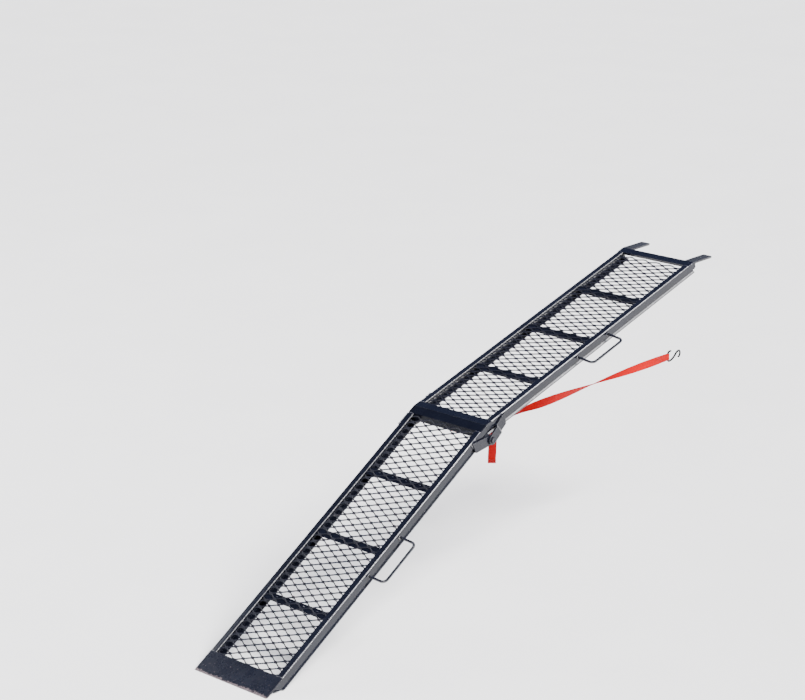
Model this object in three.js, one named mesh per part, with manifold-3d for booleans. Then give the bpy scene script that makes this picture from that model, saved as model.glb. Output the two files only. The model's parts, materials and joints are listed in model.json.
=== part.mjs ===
// A folding steel loading ramp: two equal panels joined by a hinge rod below the deck, set up between a
// vehicle's tailgate and the ground. Millimetres. +Z is up, +Y points at the vehicle, +X is the handle side.
// The origin is the middle of the tailgate's edge, level with the undersides of the tailgate fingers.
import * as THREE from "three";
import { mergeGeometries, mergeVertices } from "three/addons/utils/BufferGeometryUtils.js";
import Module from "manifold-3d";

const wasm = await Module();
wasm.setup();

// Panels. Each one has its own frame: x across, s along the deck (up the slope) and v normal to the deck,
// with the fold line at s = 0 and the top of the deck at v = 0.
const WIDTH = 280;
const LENGTH = 1067;
const LOWER_SLOPE = THREE.MathUtils.degToRad(30.7);
const UPPER_SLOPE = THREE.MathUtils.degToRad(15.6);
const HALF_ARCH = (LOWER_SLOPE - UPPER_SLOPE) / 2;
const DECK_END_Y = -12.5;
const FINGER_THICKNESS = 6;
const FOLD_Y = DECK_END_Y - LENGTH * Math.cos(UPPER_SLOPE);
const FOLD_Z = FINGER_THICKNESS - LENGTH * Math.sin(UPPER_SLOPE);
const HALF = WIDTH / 2;
const GAP = 0.3;
const FOLD_CLEARANCE = 0.6;

// Channel rails with rounded bends and a swaged groove along the outer web.
const RAIL_DEPTH = 38;
const FLANGE = 20;
const WALL = 3;
const RAIL_CORNER = 3.2;
const GROOVE_DEPTH = 4;
const GROOVE_MIDDLE = 27;
const GROOVE_FLAT = 3;
const GROOVE_MOUTH = 6;
const SWAGE_INSIDE = GROOVE_DEPTH + WALL;

// Bars across the panels.
const CROSS_LEG = 25;
const END_BAR_WIDTH = 28;
const FOLD_BAR_DEPTH = 34;
const TOP_BAR_DEPTH = 25;
const LOWER_CROSS = [265, 515, 765];
const UPPER_CROSS = [273.5, 534, 794.5];

// Toe plate, ground flat underneath its front edge so that it lies on the ground.
const TOE_LENGTH = 74;
const TOE_THICKNESS = 5;
const TOE_NOSE = 1.5;
const TOE_RAIL_TOP = 36;
const TOE_RAIL_BOTTOM = 63;

// Expanded-metal grid: diamonds with their long way across the ramp.
const GRID_THICKNESS = 3;
const GRID_ACROSS = 104;
const GRID_ALONG = 52;
const STRAND = 5;
const GRID_RIM = 4;

// Hinge.
const PIN_DROP = 52;
const PIN_S = PIN_DROP * Math.sin(HALF_ARCH);
const PIN_V = -PIN_DROP * Math.cos(HALF_ARCH);
const ROD_RADIUS = 6;
const HOLE_RADIUS = 6.08;
const PLATE = 5;
const EAR_RADIUS = 15;
const EAR_OFFSET = PLATE + 0.6;
const LOWER_PLATE_REACH = 77;
const UPPER_PLATE_REACH = 80;
const JOGGLE_START = 37;
const JOGGLE_RUN = 6;
const JOGGLE_ANGLE = THREE.MathUtils.degToRad(26.4);
const HEAD_RADIUS = 9.5;
const HEAD_HEIGHT = 4;
const ROD_SIDES = 24;
const EAR_FACE = HALF + GAP + EAR_OFFSET + PLATE;

// Lift handles.
const HANDLE_AT = 521;
const HANDLE_SPAN = 152;
const HANDLE_REACH = 57;
const HANDLE_ROD = 8;
const HANDLE_DROP = 12;
const HANDLE_DROOP = THREE.MathUtils.degToRad(8);
const HANDLE_CORNER = 14;

// Tailgate fingers.
const FINGER_WIDTH = 35;
const FINGER_REACH = 92.5;
const FINGER_TAB = 22;
const FINGER_CORNER = 8;
const FINGER_FILLET = 4;

// Safety strap, in a frame at the hinge rod: y towards the vehicle and z up.
const WEBBING_WIDTH = 25;
const WEBBING = 1.6;
const STRAP_BUCKLE = { y: 169, z: -22 };
const STRAP_END = { y: 1077, z: -27 };
const BUCKLE_LENGTH = 32;
const BUCKLE_WIDTH = 35;
const BUCKLE_THICKNESS = 3.5;
const HOOK_WIRE = 6;
const HOOK_ROUTE = [
  [1100, -10],
  [1087, -11],
  [1082, -16],
  [1082, -38],
  [1087, -43],
  [1101, -42],
  [1117, -34],
  [1131, -22],
  [1144, -19],
  [1150, -28],
  [1146, -38],
  [1138, -41],
];
const TAIL_Y = 179;
const TAIL_TOP = -25.3;
const TAIL_BOTTOM = -155;
const TWIST_START = 285;
const TWIST_KNOTS = [
  { y: TWIST_START, turn: 0 },
  { y: 435, turn: 65 },
  { y: 688, turn: 155 },
  { y: 980, turn: 245 },
  { y: STRAP_END.y, turn: 262 },
];

const PAINT = { color: 0x171a24, roughness: 0.28, metalness: 0.35 };
const GRID_PAINT = { color: 0x15161a, roughness: 0.5, metalness: 0.4 };
const WORN_STEEL = { color: 0x4a4548, roughness: 0.45, metalness: 0.7 };
const RED_WEBBING = { color: 0xc2201f, roughness: 0.85, metalness: 0 };
const BLACK_STEEL = { color: 0x1a1b1e, roughness: 0.4, metalness: 0.6 };

// Turns shape coordinates (a, b) into (s, v), with the extrusion running across the ramp.
const ACROSS = new THREE.Matrix4().makeBasis(
  new THREE.Vector3(0, 1, 0),
  new THREE.Vector3(0, 0, 1),
  new THREE.Vector3(1, 0, 0),
);
// Turns shape coordinates (a, b) into (x, v), with the extrusion running down the slope.
const ALONG = new THREE.Matrix4().makeBasis(
  new THREE.Vector3(1, 0, 0),
  new THREE.Vector3(0, 0, 1),
  new THREE.Vector3(0, -1, 0),
);

function solid(geometry) {
  const bare = geometry.index ? geometry.toNonIndexed() : geometry.clone();
  bare.deleteAttribute("normal");
  bare.deleteAttribute("uv");
  const merged = mergeVertices(bare, 1e-4);
  return new wasm.Manifold(
    new wasm.Mesh({
      numProp: 3,
      vertProperties: merged.attributes.position.array,
      triVerts: new Uint32Array(merged.index.array),
    }),
  );
}

function geometryOf(body) {
  const mesh = body.getMesh();
  const geometry = new THREE.BufferGeometry();
  geometry.setAttribute("position", new THREE.BufferAttribute(new Float32Array(mesh.vertProperties), 3));
  geometry.setIndex(new THREE.BufferAttribute(new Uint32Array(mesh.triVerts), 1));
  const flat = geometry.toNonIndexed();
  flat.computeVertexNormals();
  return flat;
}

function shapeOf(points) {
  return new THREE.Shape(points.map(([a, b]) => new THREE.Vector2(a, b)));
}

function circle(radius, sides) {
  return Array.from({ length: sides }, (_, i) => {
    const turn = (2 * Math.PI * i) / sides;
    return [Math.cos(turn) * radius, Math.sin(turn) * radius];
  });
}

// An outline of (s, v) points, extruded across the ramp from x0 to x1.
function slab(outline, x0, x1) {
  const shape = outline instanceof THREE.Shape ? outline : shapeOf(outline);
  const geometry = new THREE.ExtrudeGeometry(shape, { depth: x1 - x0, bevelEnabled: false });
  return geometry.applyMatrix4(ACROSS).translate(x0, 0, 0);
}

// A section of (x, v) points, extruded along the panel from s0 to s1.
function run(section, s0, s1) {
  const geometry = new THREE.ExtrudeGeometry(shapeOf(section), { depth: s1 - s0, bevelEnabled: false });
  return geometry.applyMatrix4(ALONG).translate(0, s1, 0);
}

function block(x0, x1, s0, s1, v0, v1) {
  return new THREE.BoxGeometry(x1 - x0, s1 - s0, v1 - v0).translate(
    (x0 + x1) / 2,
    (s0 + s1) / 2,
    (v0 + v1) / 2,
  );
}

function crossCylinder(radius, x0, x1, sides = ROD_SIDES) {
  return new THREE.CylinderGeometry(radius, radius, x1 - x0, sides)
    .rotateZ(Math.PI / 2)
    .translate((x0 + x1) / 2, 0, 0);
}

// The channel's section for the rail on the given side (1 is +X and -1 is -X), opening inward.
function railSection(side) {
  const top = GROOVE_MIDDLE - GROOVE_FLAT;
  const bottom = GROOVE_MIDDLE + GROOVE_FLAT;
  const corner = [0, 1, 2, 3].map((i) => {
    const turn = (Math.PI * i) / 6;
    return [RAIL_CORNER * (1 - Math.sin(turn)), RAIL_CORNER * (1 - Math.cos(turn))];
  });
  const outline = [
    ...corner,
    [0, GROOVE_MIDDLE - GROOVE_MOUTH],
    [GROOVE_DEPTH, top],
    [GROOVE_DEPTH, bottom],
    [0, GROOVE_MIDDLE + GROOVE_MOUTH],
    ...corner.map(([inward, down]) => [inward, RAIL_DEPTH - down]).reverse(),
    [FLANGE, RAIL_DEPTH],
    [FLANGE, RAIL_DEPTH - WALL],
    [WALL, RAIL_DEPTH - WALL],
    [SWAGE_INSIDE, bottom + 1.5],
    [SWAGE_INSIDE, top - 1.5],
    [WALL, GROOVE_MIDDLE - GROOVE_MOUTH - 1.5],
    [WALL, WALL],
    [FLANGE, WALL],
    [FLANGE, 0],
  ];
  return outline.map(([inward, down]) => [side * (HALF - inward), -down]);
}

// A rail is the channel trimmed by its side outline, which holds the mitre at the fold and the notches.
function rail(side, outline) {
  const reach = outline.map(([s]) => s);
  const channel = solid(run(railSection(side), Math.min(...reach) - 1, Math.max(...reach) + 1));
  return geometryOf(channel.intersect(solid(slab(outline, -HALF - 1, HALF + 1))));
}

// The rails end on a mitre at the fold, below the fold bar's flange. along is 1 up the slope, -1 down it.
function foldEnd(along) {
  const start = FOLD_CLEARANCE;
  const lean = Math.tan(HALF_ARCH);
  return [
    [along * (END_BAR_WIDTH + GAP), 0],
    [along * (END_BAR_WIDTH + GAP), -WALL - GAP],
    [along * (start + (WALL + GAP) * lean), -WALL - GAP],
    [along * (start + RAIL_DEPTH * lean), -RAIL_DEPTH],
  ];
}

function lowerRail(side) {
  const plate = LENGTH - TOE_LENGTH - GAP;
  return rail(side, [
    ...foldEnd(-1),
    [-(LENGTH - TOE_RAIL_BOTTOM), -RAIL_DEPTH],
    [-(LENGTH - TOE_RAIL_TOP), -TOE_THICKNESS - GAP],
    [-plate, -TOE_THICKNESS - GAP],
    [-plate, 0],
  ]);
}

function upperRail(side) {
  const flangeEnd = LENGTH - END_BAR_WIDTH - GAP;
  const webEnd = LENGTH - WALL - GAP;
  return rail(side, [
    ...foldEnd(1),
    [webEnd, -RAIL_DEPTH],
    [webEnd, -WALL - GAP],
    [flangeEnd, -WALL - GAP],
    [flangeEnd, 0],
  ]);
}

function toePlate() {
  const bevel = (TOE_THICKNESS - TOE_NOSE) / Math.tan(LOWER_SLOPE);
  return slab(
    [
      [-(LENGTH - TOE_LENGTH), 0],
      [-LENGTH, 0],
      [-LENGTH, -TOE_NOSE],
      [-LENGTH + bevel, -TOE_THICKNESS],
      [-(LENGTH - TOE_LENGTH), -TOE_THICKNESS],
    ],
    -HALF,
    HALF,
  );
}

// An angle bar under the grid, its upright leg on the uphill side.
function crossMember(middle) {
  const top = -WALL - GRID_THICKNESS - 2 * GAP;
  const s0 = middle - CROSS_LEG / 2;
  const s1 = middle + CROSS_LEG / 2;
  const flat = HALF - WALL - GAP;
  const upright = HALF - SWAGE_INSIDE - GAP;
  const leg = block(-upright, upright, s1 - WALL, s1, top - CROSS_LEG, top - WALL / 2);
  return geometryOf(solid(block(-flat, flat, s0, s1, top - WALL, top)).add(solid(leg)));
}

// The angle bar along the fold: a deck-level flange with an upright leg on the side away from the fold.
function foldBar(along) {
  const near = along * FOLD_CLEARANCE;
  const far = along * END_BAR_WIDTH;
  const inner = far - along * WALL;
  const upright = HALF - SWAGE_INSIDE - GAP;
  const flange = block(-HALF, HALF, Math.min(near, far), Math.max(near, far), -WALL, 0);
  const leg = block(-upright, upright, Math.min(inner, far), Math.max(inner, far), -FOLD_BAR_DEPTH, -WALL / 2);
  return geometryOf(solid(flange).add(solid(leg)));
}

function topBar() {
  return slab(
    [
      [LENGTH - END_BAR_WIDTH, 0],
      [LENGTH, 0],
      [LENGTH, -TOP_BAR_DEPTH],
      [LENGTH - WALL, -TOP_BAR_DEPTH],
      [LENGTH - WALL, -WALL],
      [LENGTH - END_BAR_WIDTH, -WALL],
    ],
    -HALF,
    HALF,
  );
}

// The diamond opening at a grid point, drawn in (x, s) and kept inside the rim.
function diamond(x, s, x0, x1, s0, s1) {
  const a = GRID_ACROSS / 2 - STRAND;
  const b = GRID_ALONG / 2 - STRAND / 2;
  const corners = [
    [x - a, s],
    [x, s - b],
    [x + a, s],
    [x, s + b],
  ];
  return clipped(clipped(clipped(clipped(corners, 0, x0, 1), 0, x1, -1), 1, s0, 1), 1, s1, -1);
}

// The part of a convex outline on one side of the line where the given coordinate equals limit.
function clipped(points, axis, limit, sense) {
  const kept = [];
  points.forEach((p, i) => {
    const q = points[(i + 1) % points.length];
    const dp = sense * (p[axis] - limit);
    const dq = sense * (q[axis] - limit);
    if (dp >= 0) {
      kept.push(p);
    }
    if (dp * dq < 0) {
      const t = dp / (dp - dq);
      kept.push([p[0] + t * (q[0] - p[0]), p[1] + t * (q[1] - p[1])]);
    }
  });
  return kept;
}

function areaOf(points) {
  return Math.abs(
    points.reduce((sum, [x, y], i) => {
      const [nx, ny] = points[(i + 1) % points.length];
      return sum + (x * ny - nx * y) / 2;
    }, 0),
  );
}

function grid(s0, s1) {
  const edge = HALF - WALL - GAP;
  const top = -WALL - GAP;
  const x1 = edge - GRID_RIM;
  const rows = Math.ceil((s1 - s0) / (GRID_ALONG / 2));
  const cuts = [];
  for (let row = 0; row <= rows; row += 1) {
    const shift = (row % 2) * (GRID_ACROSS / 2);
    const s = s0 + (row * GRID_ALONG) / 2;
    for (let x = -2 * GRID_ACROSS + shift; x <= 2 * GRID_ACROSS; x += GRID_ACROSS) {
      const hole = diamond(x, s, -x1, x1, s0 + GRID_RIM, s1 - GRID_RIM);
      if (hole.length > 2 && areaOf(hole) > 60) {
        const cut = new THREE.ExtrudeGeometry(shapeOf(hole), { depth: 3 * GRID_THICKNESS, bevelEnabled: false });
        cuts.push(cut.translate(0, 0, top - 2 * GRID_THICKNESS));
      }
    }
  }
  const sheet = solid(block(-edge, edge, s0, s1, top - GRID_THICKNESS, top));
  return geometryOf(sheet.subtract(solid(mergeGeometries(cuts))));
}

// The outline round the rail's end and the pin: two corners on the rail and an arc round the pin.
function hingeOutline(along, reach, top) {
  const pin = new THREE.Vector2(along * PIN_S, PIN_V);
  const tangent = (corner, sign) => {
    const d = corner.clone().sub(pin);
    const turn = Math.acos(EAR_RADIUS / d.length());
    return d.angle() + sign * turn;
  };
  const upper = new THREE.Vector2(along * reach, top);
  const lower = new THREE.Vector2(along * reach, -RAIL_DEPTH);
  const from = tangent(upper, along);
  let to = tangent(lower, -along);
  while (along * (to - from) < 0) {
    to += along * 2 * Math.PI;
  }
  const steps = 14;
  const points = [upper];
  for (let i = 0; i <= steps; i += 1) {
    const turn = from + ((to - from) * i) / steps;
    points.push(new THREE.Vector2(Math.cos(turn), Math.sin(turn)).multiplyScalar(EAR_RADIUS).add(pin));
  }
  points.push(lower);
  return points.map((p) => [p.x, p.y]);
}

function pinHole(along, side) {
  const hole = crossCylinder(HOLE_RADIUS, HALF - 5, HALF + 25).translate(0, along * PIN_S, PIN_V);
  return solid(side > 0 ? hole : hole.translate(-2 * HALF - 20, 0, 0));
}

// The flat side plate welded on the lower rail.
function lowerHingePlate(side) {
  const inner = HALF + GAP;
  const outline = hingeOutline(-1, LOWER_PLATE_REACH, -1);
  const x0 = side > 0 ? inner : -inner - PLATE;
  return geometryOf(solid(slab(outline, x0, x0 + PLATE)).subtract(pinHole(-1, side)));
}

// The joggled plate welded on the upper rail: its ear stands one plate further out, over the lower plate.
function upperHingePlate(side) {
  const inner = HALF + GAP;
  const ear = inner + EAR_OFFSET;
  const lag = 2.4;
  const strip = [
    [-2 * EAR_RADIUS, ear],
    [JOGGLE_START, ear],
    [JOGGLE_START + JOGGLE_RUN, inner],
    [3 * UPPER_PLATE_REACH, inner],
    [3 * UPPER_PLATE_REACH, inner + PLATE],
    [JOGGLE_START + JOGGLE_RUN + lag, inner + PLATE],
    [JOGGLE_START + lag, ear + PLATE],
    [-2 * EAR_RADIUS, ear + PLATE],
  ].map(([r, x]) => [r, side * x]);
  const bent = new THREE.ExtrudeGeometry(shapeOf(strip), { depth: 8 * EAR_RADIUS, bevelEnabled: false });
  bent.translate(0, 0, -4 * EAR_RADIUS);
  const along = new THREE.Vector3(0, Math.cos(JOGGLE_ANGLE), Math.sin(JOGGLE_ANGLE));
  const outward = new THREE.Vector3(1, 0, 0);
  bent.applyMatrix4(new THREE.Matrix4().makeBasis(along, outward, along.clone().cross(outward)));
  bent.translate(0, PIN_S, PIN_V);
  const outline = slab(hingeOutline(1, UPPER_PLATE_REACH, -1), -HALF - 30, HALF + 30);
  return geometryOf(solid(bent).intersect(solid(outline)).subtract(pinHole(1, side)));
}

// The rod runs right across below the deck, with a low round head outside each ear.
function hingeRod() {
  const near = EAR_FACE + GAP;
  const far = near + HEAD_HEIGHT;
  const rod = solid(crossCylinder(ROD_RADIUS, -near - HEAD_HEIGHT / 2, near + HEAD_HEIGHT / 2));
  const right = solid(crossCylinder(HEAD_RADIUS, near, far));
  return geometryOf(rod.add(right).add(solid(crossCylinder(HEAD_RADIUS, -far, -near))));
}

// A round-rod loop whose two legs stand out from the web of the +X rail, drooping a little.
function handle(middle) {
  const start = HALF + GAP + (HANDLE_ROD / 2) * Math.sin(HANDLE_DROOP);
  const out = (reach) =>
    new THREE.Vector3(start + reach * Math.cos(HANDLE_DROOP), 0, -HANDLE_DROP - reach * Math.sin(HANDLE_DROOP));
  const at = (reach, s) => out(reach).setY(s);
  const s0 = middle - HANDLE_SPAN / 2;
  const s1 = middle + HANDLE_SPAN / 2;
  const corner = HANDLE_REACH - HANDLE_CORNER;
  const path = new THREE.CurvePath();
  path.add(new THREE.LineCurve3(at(0, s0), at(corner, s0)));
  path.add(new THREE.QuadraticBezierCurve3(at(corner, s0), at(HANDLE_REACH, s0), at(HANDLE_REACH, s0 + HANDLE_CORNER)));
  path.add(new THREE.LineCurve3(at(HANDLE_REACH, s0 + HANDLE_CORNER), at(HANDLE_REACH, s1 - HANDLE_CORNER)));
  path.add(new THREE.QuadraticBezierCurve3(at(HANDLE_REACH, s1 - HANDLE_CORNER), at(HANDLE_REACH, s1), at(corner, s1)));
  path.add(new THREE.LineCurve3(at(corner, s1), at(0, s1)));
  return new THREE.ExtrudeGeometry(shapeOf(circle(HANDLE_ROD / 2, 8)), { steps: 36, extrudePath: path });
}

// A bent flat bar: a tab on the end bar's outer face and a level tongue that lies on the tailgate, with
// a fillet in the inner corner.
function finger(middle) {
  const along = new THREE.Vector2(Math.cos(UPPER_SLOPE), Math.sin(UPPER_SLOPE));
  const down = new THREE.Vector2(along.y, -along.x);
  const corner = new THREE.Vector2(DECK_END_Y, FINGER_THICKNESS).addScaledVector(along, GAP);
  const tabInner = corner.clone().addScaledVector(down, FINGER_TAB);
  const tabOuter = tabInner.clone().addScaledVector(along, FINGER_THICKNESS);
  const bend = tabOuter.clone().addScaledVector(down, tabOuter.y / -down.y);
  const lean = Math.PI / 2 - UPPER_SLOPE;
  const flatStart = bend.x + FINGER_FILLET / Math.tan(lean / 2);
  const fillet = [4, 3, 2, 1, 0].map((i) => {
    const turn = Math.PI / 2 + ((Math.PI - lean) * i) / 4;
    return [
      flatStart + FINGER_FILLET * Math.cos(turn),
      i === 0 ? 0 : FINGER_FILLET * (Math.sin(turn) - 1),
    ];
  });
  const outline = [
    [corner.x, FINGER_THICKNESS],
    [tabInner.x, tabInner.y],
    [tabOuter.x, tabOuter.y],
    ...fillet,
    [FINGER_REACH, 0],
    [FINGER_REACH, FINGER_THICKNESS - 2],
    [FINGER_REACH - 3, FINGER_THICKNESS],
  ];
  const x0 = middle - FINGER_WIDTH / 2;
  const x1 = middle + FINGER_WIDTH / 2;
  const plan = shapeOf([
    [x0, -60],
    [x1, -60],
    [x1, FINGER_REACH - FINGER_CORNER],
    [x1 - 0.3 * FINGER_CORNER, FINGER_REACH - 0.3 * FINGER_CORNER],
    [x1 - FINGER_CORNER, FINGER_REACH + 1],
    [x0 + FINGER_CORNER, FINGER_REACH + 1],
    [x0 + 0.3 * FINGER_CORNER, FINGER_REACH - 0.3 * FINGER_CORNER],
    [x0, FINGER_REACH - FINGER_CORNER],
  ]);
  const cutter = new THREE.ExtrudeGeometry(plan, { depth: 100, bevelEnabled: false }).translate(0, 0, -60);
  return levelled(geometryOf(solid(slab(outline, x0, x1)).intersect(solid(cutter))));
}

// Puts the corners of a level underside at exactly z = 0, so that it is one flat face.
function levelled(geometry) {
  const p = geometry.attributes.position;
  for (let i = 0; i < p.count; i += 1) {
    if (Math.abs(p.getZ(i)) < 1e-3) {
      p.setZ(i, 0);
    }
  }
  return geometry;
}

// The two plies of webbing from the buckle round the hinge rod and back.
function strapLoop() {
  const radius = ROD_RADIUS + GAP + WEBBING / 2;
  const end = STRAP_BUCKLE.y - BUCKLE_LENGTH / 2 - GAP;
  const slope = STRAP_BUCKLE.z / STRAP_BUCKLE.y;
  const lean = Math.atan(slope);
  const ply = WEBBING / 2 + 0.15;
  const side = (offset, grow) => {
    const r = radius + offset;
    const tip = ply + offset;
    const arc = [];
    for (let i = 0; i <= 10; i += 1) {
      const turn = Math.PI / 2 + (Math.PI * i) / 10 + lean;
      arc.push([r * Math.cos(turn), r * Math.sin(turn)]);
    }
    return grow ? [[end, slope * end + tip], ...arc, [end, slope * end - tip]] : arc;
  };
  const inner = side(-WEBBING / 2, false).reverse();
  const near = ply - WEBBING / 2;
  const outline = [
    ...side(WEBBING / 2, true),
    [end, slope * end - near],
    ...inner,
    [end, slope * end + near],
  ];
  return slab(outline, -WEBBING_WIDTH / 2, WEBBING_WIDTH / 2);
}

// A three-bar slide: a flat frame with two slots for the webbing.
function strapBuckle() {
  const frame = solid(
    block(
      -BUCKLE_WIDTH / 2,
      BUCKLE_WIDTH / 2,
      -BUCKLE_LENGTH / 2,
      BUCKLE_LENGTH / 2,
      -BUCKLE_THICKNESS / 2,
      BUCKLE_THICKNESS / 2,
    ),
  );
  const slot = (s) => solid(block(-13.5, 13.5, s - 1.7, s + 1.7, -BUCKLE_THICKNESS, BUCKLE_THICKNESS));
  return geometryOf(frame.subtract(slot(-6)).subtract(slot(6)));
}

// An S-shaped wire hook: its straight back, next to the strap, stands upright.
function strapHook() {
  const path = new THREE.CatmullRomCurve3(
    HOOK_ROUTE.map(([y, z]) => new THREE.Vector3(0, y, z)),
    false,
    "centripetal",
  );
  return new THREE.ExtrudeGeometry(shapeOf(circle(HOOK_WIRE / 2, 8)), { steps: 36, extrudePath: path });
}

function turnAt(y) {
  const last = TWIST_KNOTS.length - 1;
  const i = Math.min(last, Math.max(1, TWIST_KNOTS.findIndex((k) => k.y >= y)));
  const [a, b] = [TWIST_KNOTS[i - 1], TWIST_KNOTS[i]];
  const t = THREE.MathUtils.clamp((y - a.y) / (b.y - a.y), 0, 1);
  return THREE.MathUtils.degToRad(a.turn + t * (b.turn - a.turn));
}

// The single ply from the buckle to the vehicle, turning over on the way.
function strapRun() {
  const start = STRAP_BUCKLE.y + BUCKLE_LENGTH / 2 + GAP;
  const length = STRAP_END.y - start;
  const geometry = new THREE.BoxGeometry(WEBBING_WIDTH, length, WEBBING, 1, 40, 1);
  geometry.translate(0, start + length / 2, 0);
  const p = geometry.attributes.position;
  for (let i = 0; i < p.count; i += 1) {
    const y = p.getY(i);
    const turn = turnAt(y);
    const t = (y - STRAP_BUCKLE.y) / (STRAP_END.y - STRAP_BUCKLE.y);
    const x = p.getX(i);
    const z = p.getZ(i);
    const drop = STRAP_BUCKLE.z + t * (STRAP_END.z - STRAP_BUCKLE.z);
    p.setXYZ(i, x * Math.cos(turn) + z * Math.sin(turn), y, z * Math.cos(turn) - x * Math.sin(turn) + drop);
  }
  return geometryOf(solid(geometry));
}

function strapTail() {
  return block(
    -WEBBING_WIDTH / 2,
    WEBBING_WIDTH / 2,
    TAIL_Y - WEBBING / 2,
    TAIL_Y + WEBBING / 2,
    TAIL_BOTTOM,
    TAIL_TOP,
  );
}

function add(group, name, geometry, look) {
  const mesh = new THREE.Mesh(geometry, new THREE.MeshStandardMaterial(look));
  mesh.name = name;
  group.add(mesh);
  return mesh;
}

const ramp = new THREE.Group();

const lower = new THREE.Group();
lower.position.set(0, FOLD_Y, FOLD_Z);
lower.rotation.x = LOWER_SLOPE;
ramp.add(lower);

const upper = new THREE.Group();
upper.position.set(0, FOLD_Y, FOLD_Z);
upper.rotation.x = UPPER_SLOPE;
ramp.add(upper);

for (const [side, label] of [
  [1, "right"],
  [-1, "left"],
]) {
  add(lower, `lower_rail_${label}`, lowerRail(side), PAINT);
  add(upper, `upper_rail_${label}`, upperRail(side), PAINT);
  add(lower, `lower_hinge_plate_${label}`, lowerHingePlate(side), PAINT);
  add(upper, `upper_hinge_plate_${label}`, upperHingePlate(side), PAINT);
  add(ramp, `tailgate_finger_${label}`, finger(side * (HALF - FINGER_WIDTH / 2)), PAINT);
}

LOWER_CROSS.forEach((u, i) => add(lower, `lower_cross_member_${i + 1}`, crossMember(-u), PAINT));
UPPER_CROSS.forEach((u, i) => add(upper, `upper_cross_member_${i + 1}`, crossMember(u), PAINT));
add(lower, "lower_fold_bar", foldBar(-1), PAINT);
add(upper, "upper_fold_bar", foldBar(1), PAINT);
add(upper, "top_end_bar", topBar(), PAINT);
add(lower, "toe_plate", toePlate(), WORN_STEEL);
add(lower, "lower_grid", grid(-(LENGTH - TOE_LENGTH - GAP), -(END_BAR_WIDTH + GAP)), GRID_PAINT);
add(upper, "upper_grid", grid(END_BAR_WIDTH + GAP, LENGTH - END_BAR_WIDTH - GAP), GRID_PAINT);
add(lower, "lower_handle", handle(-HANDLE_AT), PAINT);
add(upper, "upper_handle", handle(HANDLE_AT), PAINT);

// The hinge rod's axis, and the strap that is looped round it.
const hinge = new THREE.Group();
const toPin = PIN_DROP;
const bisector = (LOWER_SLOPE + UPPER_SLOPE) / 2;
hinge.position.set(0, FOLD_Y + toPin * Math.sin(bisector), FOLD_Z - toPin * Math.cos(bisector));
ramp.add(hinge);
add(hinge, "hinge_rod", hingeRod(), PAINT);
add(hinge, "strap_loop", strapLoop(), RED_WEBBING);
add(hinge, "strap_buckle", strapBuckle(), BLACK_STEEL).position.set(0, STRAP_BUCKLE.y, STRAP_BUCKLE.z);
add(hinge, "strap_run", strapRun(), RED_WEBBING);
add(hinge, "strap_tail", strapTail(), RED_WEBBING);
add(hinge, "strap_hook", strapHook(), BLACK_STEEL);

export default ramp;
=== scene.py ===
import json
import math

import bmesh
import bpy
from mathutils import Matrix, Vector

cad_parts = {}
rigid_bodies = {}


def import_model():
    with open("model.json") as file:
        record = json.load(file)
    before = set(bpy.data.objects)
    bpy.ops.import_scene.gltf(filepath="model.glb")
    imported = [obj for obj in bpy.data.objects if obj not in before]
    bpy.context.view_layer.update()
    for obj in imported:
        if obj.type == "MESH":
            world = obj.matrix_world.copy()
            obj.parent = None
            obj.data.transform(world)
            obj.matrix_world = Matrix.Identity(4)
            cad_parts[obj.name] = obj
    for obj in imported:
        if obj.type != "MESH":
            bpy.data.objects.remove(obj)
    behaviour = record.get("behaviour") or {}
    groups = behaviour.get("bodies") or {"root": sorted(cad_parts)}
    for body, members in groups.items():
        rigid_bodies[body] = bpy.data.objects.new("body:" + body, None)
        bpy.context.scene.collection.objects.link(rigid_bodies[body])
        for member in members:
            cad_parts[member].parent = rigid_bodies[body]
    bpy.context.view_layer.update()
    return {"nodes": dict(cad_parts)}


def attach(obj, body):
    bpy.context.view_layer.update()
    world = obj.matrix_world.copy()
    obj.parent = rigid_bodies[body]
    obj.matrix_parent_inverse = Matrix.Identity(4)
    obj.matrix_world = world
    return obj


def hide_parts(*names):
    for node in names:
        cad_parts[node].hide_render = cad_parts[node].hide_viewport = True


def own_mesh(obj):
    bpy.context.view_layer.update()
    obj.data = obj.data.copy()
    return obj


for leftover in list(bpy.data.objects):
    bpy.data.objects.remove(leftover)

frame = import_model()
nodes = frame["nodes"]

# The two panels: x across, s along the deck and v normal to it, from the fold line. Metres.
LOWER_SLOPE = math.radians(30.7)
UPPER_SLOPE = math.radians(15.6)
FOLD = Vector((0, -1.040194, -0.280937))
PIN = Vector((0, -1.019751, -0.328750))
LENGTH = 1.067
HALF = 0.140
GROUND = -0.826977
LOWER = Matrix.Translation(FOLD) @ Matrix.Rotation(LOWER_SLOPE, 4, "X")
UPPER = Matrix.Translation(FOLD) @ Matrix.Rotation(UPPER_SLOPE, 4, "X")
PANELS = {"lower_panel": LOWER, "upper_panel": UPPER}


# ---------------------------------------------------------------- camera
EYE = (4.305, -6.0665, 1.9548)
GAZE = (-0.637, 0.713, -0.294)
FOCAL_LENGTH = 105.9


def make_camera():
    data = bpy.data.cameras.new("camera")
    data.lens = FOCAL_LENGTH
    data.sensor_width = 36
    data.clip_end = 60
    camera = bpy.data.objects.new("camera", data)
    camera.location = EYE
    camera.rotation_mode = "QUATERNION"
    camera.rotation_quaternion = Vector(GAZE).to_track_quat("-Z", "Y")
    bpy.context.scene.collection.objects.link(camera)
    bpy.context.scene.camera = camera


make_camera()


# ---------------------------------------------------------------- mesh helpers
def object_of(name, bm, material, body, smooth=True):
    mesh = bpy.data.meshes.new(name)
    bm.to_mesh(mesh)
    bm.free()
    obj = bpy.data.objects.new(name, mesh)
    bpy.context.scene.collection.objects.link(obj)
    mesh.materials.append(material)
    if smooth:
        mesh.polygons.foreach_set("use_smooth", [True] * len(mesh.polygons))
    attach(obj, body)
    return obj


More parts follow.
